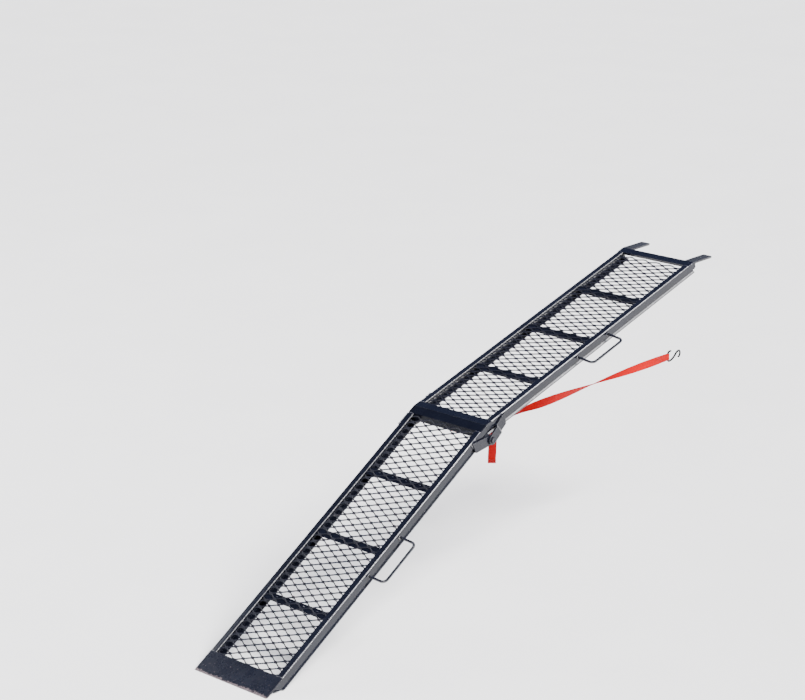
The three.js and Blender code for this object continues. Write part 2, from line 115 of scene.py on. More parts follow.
def spline(points, step):
    """A smooth line through the points, with a point about every step metres."""
    p = [Vector(q) for q in points]
    p = [2 * p[0] - p[1], *p, 2 * p[-1] - p[-2]]
    out = []
    for i in range(1, len(p) - 2):
        a, b, c, d = p[i - 1 : i + 3]
        t1 = (b - a).length ** 0.5
        t2 = t1 + (c - b).length ** 0.5
        t3 = t2 + (d - c).length ** 0.5
        count = max(1, round((c - b).length / step))
        for k in range(count):
            t = t1 + (t2 - t1) * k / count
            u = a.lerp(b, t / t1)
            v = b.lerp(c, (t - t1) / (t2 - t1))
            w = c.lerp(d, (t - t2) / (t3 - t2))
            uv = u.lerp(v, t / t2)
            vw = v.lerp(w, (t - t1) / (t3 - t1))
            out.append(uv.lerp(vw, (t - t1) / (t2 - t1)))
    out.append(p[-2])
    return out


def tangents(line):
    last = len(line) - 1
    return [(line[min(last, i + 1)] - line[max(0, i - 1)]).normalized() for i in range(last + 1)]


def skin(bm, rings):
    """Faces between rings of vertices, with a cap at each end."""
    for a, b in zip(rings, rings[1:]):
        n = len(a)
        for i in range(n):
            bm.faces.new((a[i], a[(i + 1) % n], b[(i + 1) % n], b[i]))
    bm.faces.new(list(reversed(rings[0])))
    bm.faces.new(rings[-1])


def tube(bm, line, radius, sides):
    """A round bar along a line. radius is a number, or a function of the share of the line from 0 to 1."""
    along = tangents(line)
    side = along[0].orthogonal().normalized()
    rings = []
    for i, (p, t) in enumerate(zip(line, along)):
        side = (side - t * side.dot(t)).normalized()
        other = t.cross(side)
        r = radius(i / (len(line) - 1)) if callable(radius) else radius
        ring = []
        for k in range(sides):
            turn = 2 * math.pi * k / sides
            ring.append(bm.verts.new(p + (side * math.cos(turn) + other * math.sin(turn)) * r))
        rings.append(ring)
    skin(bm, rings)


EDGE_ROUND = 0.035  # share of the webbing's width that each rounded edge takes
CROWN = 0.10  # how much thicker its middle is, as a share
CROWN_AT = (0.3, 0.1, -0.1, -0.3)


def ribbon(bm, line, wides, widths, thickness):
    """Flat webbing with rounded edges. Its UV map is in metres: across, then along."""
    layer = bm.loops.layers.uv.verify()
    profile = []
    for k in range(7):
        turn = math.pi * (k / 6 - 0.5)
        profile.append((0.5 - EDGE_ROUND + EDGE_ROUND * math.cos(turn), 0.5 * math.sin(turn)))
    profile += [(u, 0.5 * (1 + CROWN * (1 - (2 * u) ** 2))) for u in CROWN_AT]
    profile += [(-u, -v) for u, v in profile[:7]]
    profile += [(-u, -0.5 * (1 + CROWN * (1 - (2 * u) ** 2))) for u in CROWN_AT]
    along = tangents(line)
    rings = []
    places = []
    run = 0.0
    for i, (p, t) in enumerate(zip(line, along)):
        if i:
            run += (p - line[i - 1]).length
        places.append(run)
        wide = (wides[i] - t * wides[i].dot(t)).normalized()
        normal = wide.cross(t)
        ring = []
        for u, v in profile:
            ring.append(bm.verts.new(p + wide * (u * widths[i]) + normal * (v * thickness)))
        rings.append(ring)
    n = len(profile)
    for i in range(len(rings) - 1):
        for k in range(n):
            m = (k + 1) % n
            face = bm.faces.new((rings[i][k], rings[i][m], rings[i + 1][m], rings[i + 1][k]))
            spots = ((k, i), (m, i), (m, i + 1), (k, i + 1))
            for loop, (a, b) in zip(face.loops, spots):
                loop[layer].uv = (profile[a][0] * widths[b], places[b])
    bm.faces.new(list(reversed(rings[0])))
    bm.faces.new(rings[-1])


# ---------------------------------------------------------------- materials
class Nodes:
    """A short way to write a material's node tree."""

    def __init__(self, name):
        self.material = bpy.data.materials.new(name)
        self.material.use_nodes = True
        self.tree = self.material.node_tree
        self.shader = self.tree.nodes["Principled BSDF"]
        own = self.add("ShaderNodeTexCoord").outputs
        self.place, self.facing = own["Object"], own["Normal"]

    def add(self, kind, **values):
        node = self.tree.nodes.new(kind)
        for key, value in values.items():
            setattr(node, key, value)
        return node

    def join(self, source, target):
        self.tree.links.new(source, target)

    def math(self, operation, a, b=None, c=None):
        node = self.add("ShaderNodeMath", operation=operation)
        for socket, value in zip(node.inputs, (a, b, c)):
            if value is None:
                continue
            if isinstance(value, (int, float)):
                socket.default_value = value
            else:
                self.join(value, socket)
        return node.outputs[0]

    def dot(self, vector, direction):
        node = self.add("ShaderNodeVectorMath", operation="DOT_PRODUCT")
        self.join(vector, node.inputs[0])
        node.inputs[1].default_value = direction
        return node.outputs["Value"]

    def stretched(self, scale, turn):
        node = self.add("ShaderNodeMapping")
        self.join(self.place, node.inputs["Vector"])
        node.inputs["Scale"].default_value = scale
        node.inputs["Rotation"].default_value = (turn, 0, 0)
        return node.outputs[0]

    def noise(self, scale, detail=3.0, roughness=0.55, vector=None):
        node = self.add("ShaderNodeTexNoise")
        self.join(vector or self.place, node.inputs["Vector"])
        node.inputs["Scale"].default_value = scale
        node.inputs["Detail"].default_value = detail
        node.inputs["Roughness"].default_value = roughness
        return node.outputs["Fac"]

    def ramp(self, value, *stops):
        """stops are (position, grey or colour)."""
        node = self.add("ShaderNodeValToRGB")
        self.join(value, node.inputs["Fac"])
        marks = node.color_ramp.elements
        while len(marks) < len(stops):
            marks.new(0.5)
        for mark, (place, colour) in zip(marks, stops):
            mark.position = place
            grey = isinstance(colour, (int, float))
            mark.color = (colour, colour, colour, 1) if grey else (*colour, 1)
        return node.outputs["Color"]

    def mix(self, factor, a, b):
        node = self.add("ShaderNodeMix", data_type="RGBA")
        for socket, value in ((node.inputs[0], factor), (node.inputs[6], a), (node.inputs[7], b)):
            if isinstance(value, tuple):
                socket.default_value = (*value, 1)
            else:
                self.join(value, socket)
        return node.outputs[2]

    def edges(self, radius, low, high):
        """0 on flat faces, and 1 where the surface turns sharply."""
        bevel = self.add("ShaderNodeBevel", samples=4)
        bevel.inputs["Radius"].default_value = radius
        flat = self.add("ShaderNodeNewGeometry").outputs["Normal"]
        product = self.add("ShaderNodeVectorMath", operation="DOT_PRODUCT")
        self.join(bevel.outputs[0], product.inputs[0])
        self.join(flat, product.inputs[1])
        turn = self.math("SUBTRACT", 1.0, product.outputs["Value"])
        return self.ramp(turn, (low, 0.0), (high, 1.0))

    def bump(self, height, distance, strength=1.0, onto=None):
        node = self.add("ShaderNodeBump")
        node.inputs["Strength"].default_value = strength
        node.inputs["Distance"].default_value = distance
        self.join(height, node.inputs["Height"])
        if onto is not None:
            self.join(onto, node.inputs["Normal"])
        return node.outputs[0]

    def set(self, **values):
        for key, value in values.items():
            socket = self.shader.inputs[key.replace("_", " ")]
            if isinstance(value, (int, float)):
                socket.default_value = value
            elif isinstance(value, tuple):
                socket.default_value = (*value, 1)
            else:
                self.join(value, socket)
        return self.material


def paint(name, slope, wear=1.0, gloss=1.0, bend=0.0, hem=0.0):
    """Black enamel with a blue cast, orange peel, dusty scratches, steel rubbed bright at its edges, and
    painted highlights on the rail's rounded bends.

    bend and hem are how bright the painted highlight is on the rail's top bend and on the bend below it,
    drawn as bare steel; bend also sets a weaker painted highlight on the top flange's inner lip.
    """
    n = Nodes(name)
    cloud = n.noise(9.0, 4.0)
    base = n.ramp(cloud, (0.30, (0.0034, 0.0040, 0.0080)), (0.75, (0.0056, 0.0068, 0.0130)))
    drag = n.noise(1.0, 4.0, 0.65, n.stretched((420, 16, 420), -slope))
    scratch = n.ramp(drag, (0.69, 0.0), (0.74, 1.0))
    chips = n.noise(210.0, 3.0, 0.7)
    rubbed = n.math("MULTIPLY", n.edges(0.0011, 0.05, 0.35), n.ramp(chips, (0.44, 0.15), (0.58, 0.8)))
    # Painted highlight: faces turned both outward and up, at the rail's rounded top bend (strength bend) and
    # lower down (strength hem), are drawn as bright bare steel where a lamp's reflection would lie.
    outward = n.math("ABSOLUTE", n.dot(n.facing, (1, 0, 0)))
    up = Vector((0, -math.sin(slope), math.cos(slope)))
    upward = n.math("MAXIMUM", n.dot(n.facing, up), 0.0)
    depth = n.math("SUBTRACT", FOLD.dot(up), n.dot(n.place, up))
    depth_cm = n.math("MULTIPLY", depth, 100.0)
    top = n.ramp(depth_cm, (0.55, bend), (0.75, hem))
    bend_highlight = n.ramp(n.math("MULTIPLY", outward, upward), (0.16, 0.0), (0.34, 1.0))
    bend_highlight = n.math("MULTIPLY", bend_highlight, top)
    # Painted highlight on the top flange's inner lip, weaker than the one on the bend.
    aside = n.math("ABSOLUTE", n.dot(n.place, (1, 0, 0)))
    inner = n.ramp(aside, (0.131, 1.0), (0.133, 0.0))
    lip_highlight = n.math("MULTIPLY", n.ramp(outward, (0.5, 0.0), (0.7, 0.6 * bend)), inner)
    lip_highlight = n.math("MULTIPLY", lip_highlight, n.ramp(depth_cm, (0.28, 1.0), (0.36, 0.0)))
    bend_highlight = n.math("MAXIMUM", bend_highlight, lip_highlight)
    # bare holds real edge wear and also the painted bend and lip highlights, all drawn as bare steel.
    bare = n.math("MAXIMUM", n.math("MULTIPLY", rubbed, 0.75 * wear), bend_highlight)
    dusty = n.math("MULTIPLY", scratch, 0.22 * wear)
    colour = n.mix(dusty, base, (0.075, 0.075, 0.082))
    colour = n.mix(bare, colour, (0.52, 0.52, 0.53))
    polish = n.ramp(n.noise(34.0, 4.0), (0.3, 0.20), (0.8, 0.34))
    rough = n.math("ADD", polish, n.math("MULTIPLY", scratch, 0.22))
    peel = n.bump(n.noise(560.0, 2.0), 0.00005, 0.25)
    pitted = n.bump(n.math("SUBTRACT", 1.0, bare), 0.00012, 0.6, peel)
    return n.set(
        Base_Color=colour,
        Roughness=rough,
        Metallic=n.math("MULTIPLY", bare, 0.9),
        Normal=pitted,
        Coat_Weight=0.16 * gloss,
        Coat_Roughness=0.12,
        Specular_IOR_Level=min(1.0, 0.30 * gloss),
    )


def toe_steel(name):
    """The same enamel, worn to pinkish-grey steel along the front edge that scrapes the ground."""
    n = Nodes(name)
    base = n.ramp(n.noise(11.0, 4.0), (0.30, (0.0034, 0.0040, 0.0082)), (0.75, (0.0060, 0.0072, 0.0140)))
    along = n.dot(n.place, (0, math.cos(LOWER_SLOPE), math.sin(LOWER_SLOPE)))
    fold = FOLD.y * math.cos(LOWER_SLOPE) + FOLD.z * math.sin(LOWER_SLOPE)
    from_edge = n.math("SUBTRACT", along, fold - LENGTH)
    ragged = n.math("MULTIPLY_ADD", n.noise(95.0, 5.0, 0.7), 0.030, -0.0145)
    worn = n.ramp(n.math("MULTIPLY", n.math("ADD", from_edge, ragged), 40.0), (0.10, 1.0), (0.28, 0.0))
    specks = n.ramp(n.noise(150.0, 3.0, 0.75), (0.66, 0.0), (0.70, 1.0))
    near = n.ramp(n.math("MULTIPLY", from_edge, 14.0), (0.15, 1.0), (0.95, 0.12))
    bare = n.math("MAXIMUM", worn, n.math("MULTIPLY", specks, near))
    bare = n.math("MAXIMUM", bare, n.math("MULTIPLY", n.edges(0.0012, 0.05, 0.35), 0.6))
    steel = n.ramp(n.noise(260.0, 4.0), (0.3, (0.17, 0.13, 0.135)), (0.7, (0.36, 0.29, 0.295)))
    drag = n.noise(1.0, 4.0, 0.65, n.stretched((520, 26, 520), -LOWER_SLOPE))
    scratch = n.ramp(drag, (0.68, 0.0), (0.75, 0.16))
    colour = n.mix(n.math("MAXIMUM", bare, scratch), base, steel)
    rough = n.mix(bare, n.ramp(n.noise(40.0), (0.3, 0.22), (0.8, 0.36)), (0.42, 0.42, 0.42))
    bumps = n.bump(n.math("SUBTRACT", n.noise(700.0, 2.0), bare), 0.00005, 0.3)
    return n.set(
        Base_Color=colour,
        Roughness=rough,
        Metallic=n.math("MULTIPLY", bare, 0.85),
        Normal=bumps,
        Coat_Weight=0.14,
        Coat_Roughness=0.15,
        Specular_IOR_Level=0.30,
    )


def mesh_paint(name, slope):
    """Thin enamel on expanded metal, rubbed on the raised side of each strand."""
    n = Nodes(name)
    base = n.ramp(n.noise(30.0, 3.0), (0.3, (0.007, 0.0075, 0.012)), (0.75, (0.013, 0.014, 0.022)))
    up = n.dot(n.facing, (0, -math.sin(slope), math.cos(slope)))
    top = n.ramp(up, (0.75, 0.0), (0.97, 1.0))
    rubbed = n.math("MULTIPLY", top, n.ramp(n.noise(46.0, 4.0, 0.7), (0.60, 0.0), (0.72, 0.4)))
    colour = n.mix(rubbed, base, (0.13, 0.12, 0.12))
    rough = n.ramp(n.noise(120.0, 3.0), (0.3, 0.32), (0.8, 0.55))
    grain = n.bump(n.noise(900.0, 2.0), 0.0001, 0.4)
    return n.set(
        Base_Color=colour,
        Roughness=rough,
        Metallic=n.math("MULTIPLY", rubbed, 0.8),
        Normal=grain,
        Specular_IOR_Level=0.22,
    )


def weld_metal(name):
    """Painted-over weld with bright spatter where the paint hasn't taken."""
    n = Nodes(name)
    base = n.ramp(n.noise(60.0, 3.0), (0.3, (0.010, 0.011, 0.020)), (0.7, (0.022, 0.024, 0.038)))
    bright = n.ramp(n.noise(130.0, 4.0, 0.7), (0.54, 0.0), (0.62, 0.9))
    colour = n.mix(bright, base, (0.62, 0.61, 0.60))
    return n.set(
        Base_Color=colour,
        Roughness=n.ramp(n.noise(200.0), (0.3, 0.25), (0.8, 0.5)),
        Metallic=n.math("MULTIPLY", bright, 0.9),
        Normal=n.bump(n.noise(650.0, 3.0), 0.0003, 0.6),
        Coat_Weight=0.3,
    )


def black_steel(name):
    """Satin black plating on drawn wire and pressed plate, polished through at the edges."""
    n = Nodes(name)
    base = n.ramp(n.noise(80.0, 3.0), (0.3, (0.011, 0.011, 0.013)), (0.8, (0.028, 0.028, 0.031)))
    chips = n.ramp(n.noise(320.0, 3.0, 0.7), (0.48, 0.0), (0.60, 1.0))
    bare = n.math("MULTIPLY", n.edges(0.0008, 0.05, 0.4), n.math("MULTIPLY", chips, 0.8))
    colour = n.mix(bare, base, (0.30, 0.29, 0.28))
    return n.set(
        Base_Color=colour,
        Metallic=0.55,
        Roughness=n.ramp(n.noise(140.0), (0.3, 0.30), (0.8, 0.48)),
        Normal=n.bump(n.noise(800.0, 2.0), 0.00008, 0.4),
    )


HERRINGBONE = 0.00315
RIB = 0.0019
YARN = 0.00105


def webbing(name):
    """Red polyester webbing: a herringbone of ribs, bound edges, and yarns, with painted shade darkening the
    grooves of the weave.
    """
    n = Nodes(name)
    split = n.add("ShaderNodeSeparateXYZ")
    n.join(n.add("ShaderNodeUVMap").outputs[0], split.inputs[0])
    across, along = split.outputs[0], split.outputs[1]
    zigzag = n.math("PINGPONG", across, HERRINGBONE)
    slant = n.math("MULTIPLY_ADD", zigzag, 1.1, along)
    ribs = n.math("SINE", n.math("MULTIPLY", slant, 2 * math.pi / RIB))
    yarns = n.math("SINE", n.math("MULTIPLY", across, 2 * math.pi / YARN))
    weave = n.math("MULTIPLY_ADD", ribs, 0.5, n.math("MULTIPLY", yarns, 0.28))
    shade = n.math("MULTIPLY_ADD", weave, 0.5, 0.5)
    # Painted shade: the red is darker where the weave's relief is lower, in the grooves between ribs and
    # yarns.
    red = n.ramp(
        shade,
        (0.0, (0.17, 0.0008, 0.0014)),
        (0.45, (0.36, 0.0018, 0.0030)),
        (1.0, (0.48, 0.0045, 0.0060)),
    )
    faded = n.ramp(n.noise(38.0, 5.0, 0.65), (0.35, 0.0), (0.8, 0.32))
    colour = n.mix(faded, red, (0.34, 0.006, 0.008))
    edge = n.ramp(n.math("MULTIPLY", n.math("ABSOLUTE", across), 80.0), (0.86, 0.0), (0.93, 0.35))
    colour = n.mix(edge, colour, (0.24, 0.002, 0.003))
    fuzz = n.noise(1900.0, 2.0)
    height = n.math("MULTIPLY_ADD", fuzz, 0.25, shade)
    return n.set(
        Base_Color=colour,
        Roughness=n.ramp(shade, (0.0, 0.86), (1.0, 0.62)),
        Normal=n.bump(height, 0.00035, 0.8),
        Specular_IOR_Level=0.12,
        Sheen_Weight=0.04,
        Sheen_Tint=(1.0, 0.15, 0.12),
    )


def thread(name):
    """Red sewing thread, twisted."""
    n = Nodes(name)
    colour = n.ramp(n.noise(900.0, 2.0), (0.3, (0.20, 0.005, 0.006)), (0.7, (0.38, 0.012, 0.013)))
    twist = n.noise(1.0, 1.0, 0.5, n.stretched((2400, 2400, 2400), 0.6))
    return n.set(Base_Color=colour, Roughness=0.7, Normal=n.bump(twist, 0.0002, 0.7), Sheen_Weight=0.3)


# bend and hem set the strength of the painted highlights on the rails' bends.
LOWER_PAINT = paint("lower_black_paint", LOWER_SLOPE, bend=0.9)
UPPER_PAINT = paint("upper_black_paint", UPPER_SLOPE, 0.8, bend=0.9, hem=0.5)
# Painted shade: a copy of the black paint with its coat and reflection turned nearly off, so the cross
# members and lower fold bar look shaded under the deck.
SHADED_INNER_PAINT = paint("shaded_inner_black_paint", 0.0, 0.4, gloss=0.08)
FINGER_PAINT = paint("finger_black_paint", 0.0, 1.4)
HANDLE_PAINT = paint("handle_black_paint", 0.3, 0.5, gloss=3.0)
TOE_STEEL = toe_steel("worn_toe_steel")
LOWER_MESH = mesh_paint("lower_mesh_paint", LOWER_SLOPE)
UPPER_MESH = mesh_paint("upper_mesh_paint", UPPER_SLOPE)
WELD = weld_metal("painted_weld")
PIN_PAINT = paint("pin_black_paint", 0.0, 2.2)
PLATED = black_steel("black_plated_steel")
WEBBING = webbing("red_webbing")
THREAD = thread("red_thread")


# ---------------------------------------------------------------- safety strap
# Points are (x, y, z) from the hinge rod's axis, in metres.
WIDE = 0.025
PLY = 0.0016
WRAP = 0.0071
HOOK_BACK = 1.082
HOOK_WRAP = 0.0038
STEP = 0.0035
TAIL_TWIST = math.radians(38)
TAIL_HEM = 0.139
STITCH = 0.0026
STITCH_GAP = 0.0011
STITCH_RADIUS = 0.00034
# (distance from the rod, degrees turned over)
TWIST = [(0.285, 0), (0.435, 65), (0.688, 155), (0.980, 245), (1.045, 268), (1.060, 270)]


def at_pin(points):
    return [PIN + Vector(p) for p in points]


def turn_at(y):
    """How far the webbing has turned over at a distance from the rod, eased between the known turns."""
    if y <= TWIST[0][0]:
        return 0.0
    if y >= TWIST[-1][0]:
        return math.radians(TWIST[-1][1])
    slope = [(b[1] - a[1]) / (b[0] - a[0]) for a, b in zip(TWIST, TWIST[1:])]
    rates = [0.0, *[(a + b) / 2 for a, b in zip(slope, slope[1:])], 0.0]
    i = max(k for k in range(len(TWIST) - 1) if TWIST[k][0] <= y)
    (y0, a0), (y1, a1) = TWIST[i], TWIST[i + 1]
    h = y1 - y0
    t = (y - y0) / h
    value = (
        a0 * (1 + 2 * t) * (1 - t) ** 2
        + rates[i] * h * t * (1 - t) ** 2
        + a1 * t * t * (3 - 2 * t)
        + rates[i + 1] * h * t * t * (t - 1)
    )
    return math.radians(value)


def wide_at(p):
    turn = turn_at(p.y - PIN.y)
    return Vector((math.cos(turn), 0, -math.sin(turn)))


def arc(centre, radius, start, end, plane, steps=8):
    """Points on an arc in the yz or xy plane, angles in degrees."""
    out = []
    for i in range(steps + 1):
        a = math.radians(start + (end - start) * i / steps)
        if plane == "yz":
            out.append((centre[0], centre[1] + radius * math.cos(a), centre[2] + radius * math.sin(a)))
        else:
            out.append((centre[0] + radius * math.cos(a), centre[1] + radius * math.sin(a), centre[2]))
    return out


MAIN_ROUTE = [
    *arc((0, 0, 0), WRAP, 262, 84, "yz"),
    (0, 0.016, 0.0048),
    (0, 0.032, -0.0010),
    (0, 0.060, -0.0062),
    (0, 0.110, -0.0145),
    (0, 0.138, -0.0212),
    (0, 0.150, -0.0242),
    (0, 0.1585, -0.0243),
    (0, 0.1622, -0.0220),
    (0, 0.1660, -0.0188),
    (0, 0.1690, -0.0180),
    (0, 0.1722, -0.0188),
    (0, 0.1758, -0.0222),
    (0, 0.1795, -0.0244),
    (0, 0.1880, -0.0244),
    (0, 0.2050, -0.0232),
    (0, 0.2400, -0.0226),
    (0, 0.4350, -0.0235),
    (0, 0.6880, -0.0249),
    (0, 0.9800, -0.0265),
    (0.0009, 1.0200, -0.0268),
    (0.0009, 1.0660, -0.0270),
    (0.0024, 1.0745, -0.0270),
    *arc((0, HOOK_BACK, -0.0270), HOOK_WRAP, 0, 90, "xy", 4),
]
RETURN_ROUTE = [
    *arc((0, 0, 0), WRAP, 262, 276, "yz", 1),
    (0, 0.016, -0.0080),
    (0, 0.032, -0.0079),
    (0, 0.060, -0.0104),
    (0, 0.110, -0.0180),
    (0, 0.138, -0.0236),
    (0, 0.150, -0.0260),
    (0, 0.1595, -0.0259),
    (0, 0.1636, -0.0240),
    (0, 0.1648, -0.0215),
    (0, 0.1668, -0.0200),
    (0, 0.1690, -0.0197),
    (0, 0.1712, -0.0200),
    (0, 0.1736, -0.0217),
    (0, 0.1743, -0.0240),
]
TAIL_ROUTE = [
    (0, 0.1743, -0.0240),
    (0, 0.1749, -0.0300),
    (0, 0.1768, -0.0400),
    (0, 0.1800, -0.0600),
    (0, 0.1812, -0.0850),
    (0, 0.1800, -0.1150),
    (0, 0.1784, -0.1400),
    (0, 0.1786, -0.1550),
]
HOOK_RETURN = [
    *arc((0, HOOK_BACK, -0.0270), HOOK_WRAP, 90, 180, "xy", 4),
    (-0.0024, 1.0745, -0.0270),
    (-0.0009, 1.0660, -0.0270),
    (-0.0009, 1.0300, -0.0270),
    (-0.0009, 1.0120, -0.0268),
]


def narrowed(p):
    """The webbing bunches a little where it goes round the hook's wire."""
    near = max(0.0, 1 - abs(p.y - PIN.y - HOOK_BACK) / 0.022)
    return WIDE - 0.0045 * near * near * (3 - 2 * near)


def strap_piece(name, route, body):
    line = spline(at_pin(route), STEP)
    bm = bmesh.new()
    ribbon(bm, line, [wide_at(p) for p in line], [narrowed(p) for p in line], PLY)
    obj = object_of(name, bm, WEBBING, body)
    return obj, line


def tail_turn(z):
    """How far the loose end has twisted towards the handle side, at a height below the rod."""
    t = min(1.0, max(0.0, (-0.027 - z) / 0.050))
    return TAIL_TWIST * t * t * (3 - 2 * t)


def tail_piece():
    """The loose end, its last 14 mm folded back and sewn."""
    line = spline(at_pin(TAIL_ROUTE), STEP)
    bm = bmesh.new()
    turns = [tail_turn(p.z - PIN.z) for p in line]
    wides = [Vector((math.cos(a), math.sin(a), 0)) for a in turns]
    ribbon(bm, line, wides, [WIDE] * len(line), PLY)
    back = Vector((math.sin(turns[-1]), -math.cos(turns[-1]), 0)) * 0.0018
    fold = [p + back for p in line if p.z < PIN.z - TAIL_HEM]
    ribbon(bm, fold, wides[-len(fold) :], [WIDE - 0.0004] * len(fold), PLY)
    obj = object_of("strap_tail_webbing", bm, WEBBING, "strap_end")
    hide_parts("strap_tail")
    return obj


def stitch_row(bm, start, end, lift):
    """Short thread stitches lying on the webbing between two points."""
    span = end - start
    count = max(1, int(span.length / (STITCH + STITCH_GAP)))
    for i in range(count):
        a = start + span * (i / count)
        b = a + span.normalized() * STITCH
        line = []
        for t in (0, 0.25, 0.5, 0.75, 1):
            line.append(a.lerp(b, t) + lift * (0.25 + math.sin(math.pi * t)) * 0.0004)
        tube(bm, line, STITCH_RADIUS, 6)


def box_stitch(name, body, corners, lift):
    """A box with a cross in it, sewn through both plies and showing on both faces."""
    bm = bmesh.new()
    a, b, c, d = [PIN + Vector(p) for p in corners]
    for face in lift:
        offset, up = Vector(face[0]), Vector(face[1])
        for p, q in ((a, b), (b, c), (c, d), (d, a), (a, c), (b, d)):
            stitch_row(bm, p + offset, q + offset, up)
    obj = object_of(name, bm, THREAD, body)
    return obj


def strap_hook():
    """An S hook of drawn wire with rounded ends."""
    route = [
        (0, 1.1000, -0.0100),
        (0, 1.0870, -0.0110),
        (0, 1.0820, -0.0160),
        (0, 1.0820, -0.0270),
        (0, 1.0820, -0.0380),
        (0, 1.0870, -0.0430),
        (0, 1.1010, -0.0420),
        (0, 1.1170, -0.0340),
        (0, 1.1310, -0.0220),
        (0, 1.1440, -0.0190),
        (0, 1.1500, -0.0280),
        (0, 1.1460, -0.0380),
        (0, 1.1380, -0.0410),
    ]
    line = spline(at_pin(route), 0.0016)
    ends = 0.028

    def radius(t):
        near = min(t, 1 - t) / ends
        return 0.003 * math.sqrt(max(0.02, 1 - (1 - min(1, near)) ** 2))

    bm = bmesh.new()
    tube(bm, line, radius, 18)
    obj = object_of("strap_s_hook", bm, PLATED, "strap")
    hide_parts("strap_hook")
    return obj


main_strap, main_line = strap_piece("strap_webbing", MAIN_ROUTE, "strap")
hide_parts("strap_loop", "strap_run")
return_ply, _ = strap_piece("strap_return_ply", RETURN_ROUTE, "strap")
hook_ply, _ = strap_piece("strap_hook_loop", HOOK_RETURN, "strap")
tail = tail_piece()
hook = strap_hook()
SEAM_LOW, SEAM_HIGH = -0.0365, -0.0175
TAIL_SEAM = ((-0.010, -0.1515), (0.010, -0.1515), (0.010, -0.1425), (-0.010, -0.1425))
hook_stitches = box_stitch(
    "strap_hook_stitches",
    "strap",
    [(0, 1.018, SEAM_LOW), (0, 1.052, SEAM_LOW), (0, 1.052, SEAM_HIGH), (0, 1.018, SEAM_HIGH)],
    [((0.0018, 0, 0), (1, 0, 0)), ((-0.0018, 0, 0), (-1, 0, 0))],
)
across = Vector((math.cos(TAIL_TWIST), math.sin(TAIL_TWIST), 0))
facing = Vector((-across.y, across.x, 0))
tail_middle = Vector((0, 0.1783, 0))
tail_stitches = box_stitch(
    "strap_tail_stitches",
    "strap_end",
    [tail_middle + across * u + Vector((0, 0, z)) for u, z in TAIL_SEAM],
    [(facing * 0.0011, facing), (facing * -0.0029, -facing)],
)
for piece in (tail, tail_stitches):
    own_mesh(piece)


# ---------------------------------------------------------------- expanded metal
MESH_EDGE = 0.1367
MESH_TOP = -0.0033
PITCH = 0.052
ROW = 0.013
STRAND = 0.0040
SHEET = 0.0018
TILT = math.radians(18)
KNUCKLE = 0.0052
SHEETS = {"lower_panel": (-0.9927, -0.0283), "upper_panel": (0.0283, 1.0387)}
CROSSES = {"lower_panel": (-0.265, -0.515, -0.765), "upper_panel": (0.2735, 0.534, 0.7945)}


def expanded_metal(name, panel, material, node):
    """Zigzag strands across the panel, each meeting the next at every other turn, tilted like a louvre."""
    s0, s1 = SHEETS[panel]
    bm = bmesh.new()
    wide = Vector((0, math.cos(TILT), math.sin(TILT))) * (STRAND / 2)
    thick = Vector((0, -math.sin(TILT), math.cos(TILT))) * (SHEET / 2)
    middle = MESH_TOP - 0.0015
    rows = int((s1 - s0) / ROW)
    for r in range(rows):
        stations = []
        for m in range(-6, 7):
            high = (m + r) % 2 == 1
            s = s0 + ROW * (r + (1 if high else 0))
            lean = -1 if high else 1
            for dx in (-KNUCKLE, KNUCKLE):
                x = m * PITCH / 2 + dx
                stations.append(Vector((x, s, middle)) + wide * lean)
        stations = trimmed(stations, MESH_EDGE)
        rings = []
        for p in stations:
            ring = [p - wide - thick, p + wide - thick, p + wide + thick, p - wide + thick]
            rings.append([bm.verts.new(PANELS[panel] @ q) for q in ring])
        skin(bm, rings)
    bmesh.ops.recalc_face_normals(bm, faces=bm.faces)
    obj = object_of(name, bm, material, panel, smooth=False)
    edge = obj.modifiers.new("rounded", "BEVEL")
    edge.width = 0.00025
    edge.segments = 1
    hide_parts(node)


def trimmed(points, limit):
    """The stretch of a line with x between -limit and limit."""
    out = []
    for a, b in zip(points, points[1:]):
        for side in (-limit, limit):
            if (a.x - side) * (b.x - side) < 0:
                t = (side - a.x) / (b.x - a.x)
                out.append(a.lerp(b, t))
        if abs(b.x) < limit:
            out.append(b)
    return sorted(out, key=lambda p: p.x)


expanded_metal("lower_expanded_metal", "lower_panel", LOWER_MESH, "lower_grid")
expanded_metal("upper_expanded_metal", "upper_panel", UPPER_MESH, "upper_grid")


# ---------------------------------------------------------------- lift handles
HANDLE_AT = 0.521
HANDLE_HALF = 0.076
DROOP = math.radians(8)


def lift_handle(name, panel, middle, node):
    """A bent round bar, its legs standing out from the rail's web and drooping a little."""
    start = HALF + 0.0003 + 0.004 * math.sin(DROOP)
    reach, corner = 0.057, 0.014

    def at(out, s):
        return Vector((start + out * math.cos(DROOP), s, -0.012 - out * math.sin(DROOP)))

    def bend(centre, start_turn, end_turn):
        for i in range(9):
            a = math.radians(start_turn + (end_turn - start_turn) * i / 8)
            yield at(centre[0] + corner * math.cos(a), centre[1] + corner * math.sin(a))

    s0, s1 = middle - HANDLE_HALF, middle + HANDLE_HALF
    local = [at(0, s0), at(0.012, s0), at(0.028, s0)]
    local += bend((reach - corner, s0 + corner), -90, 0)
    local += [at(reach, middle - 0.04), at(reach, middle), at(reach, middle + 0.04)]
    local += bend((reach - corner, s1 - corner), 0, 90)
    local += [at(0.028, s1), at(0.012, s1), at(0, s1)]
    bm = bmesh.new()
    tube(bm, [PANELS[panel] @ p for p in local], 0.004, 20)
    obj = object_of(name, bm, HANDLE_PAINT, panel)
    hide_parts(node)


lift_handle("lower_lift_handle", "lower_panel", -HANDLE_AT, "lower_handle")
lift_handle("upper_lift_handle", "upper_panel", HANDLE_AT, "upper_handle")


# ---------------------------------------------------------------- hinge rod
def round_ring(bm, x, radius, sides=40):
    ring = []
    for k in range(sides):
        a = 2 * math.pi * k / sides
        ring.append(bm.verts.new(PIN + Vector((x, radius * math.cos(a), radius * math.sin(a)))))
    return ring


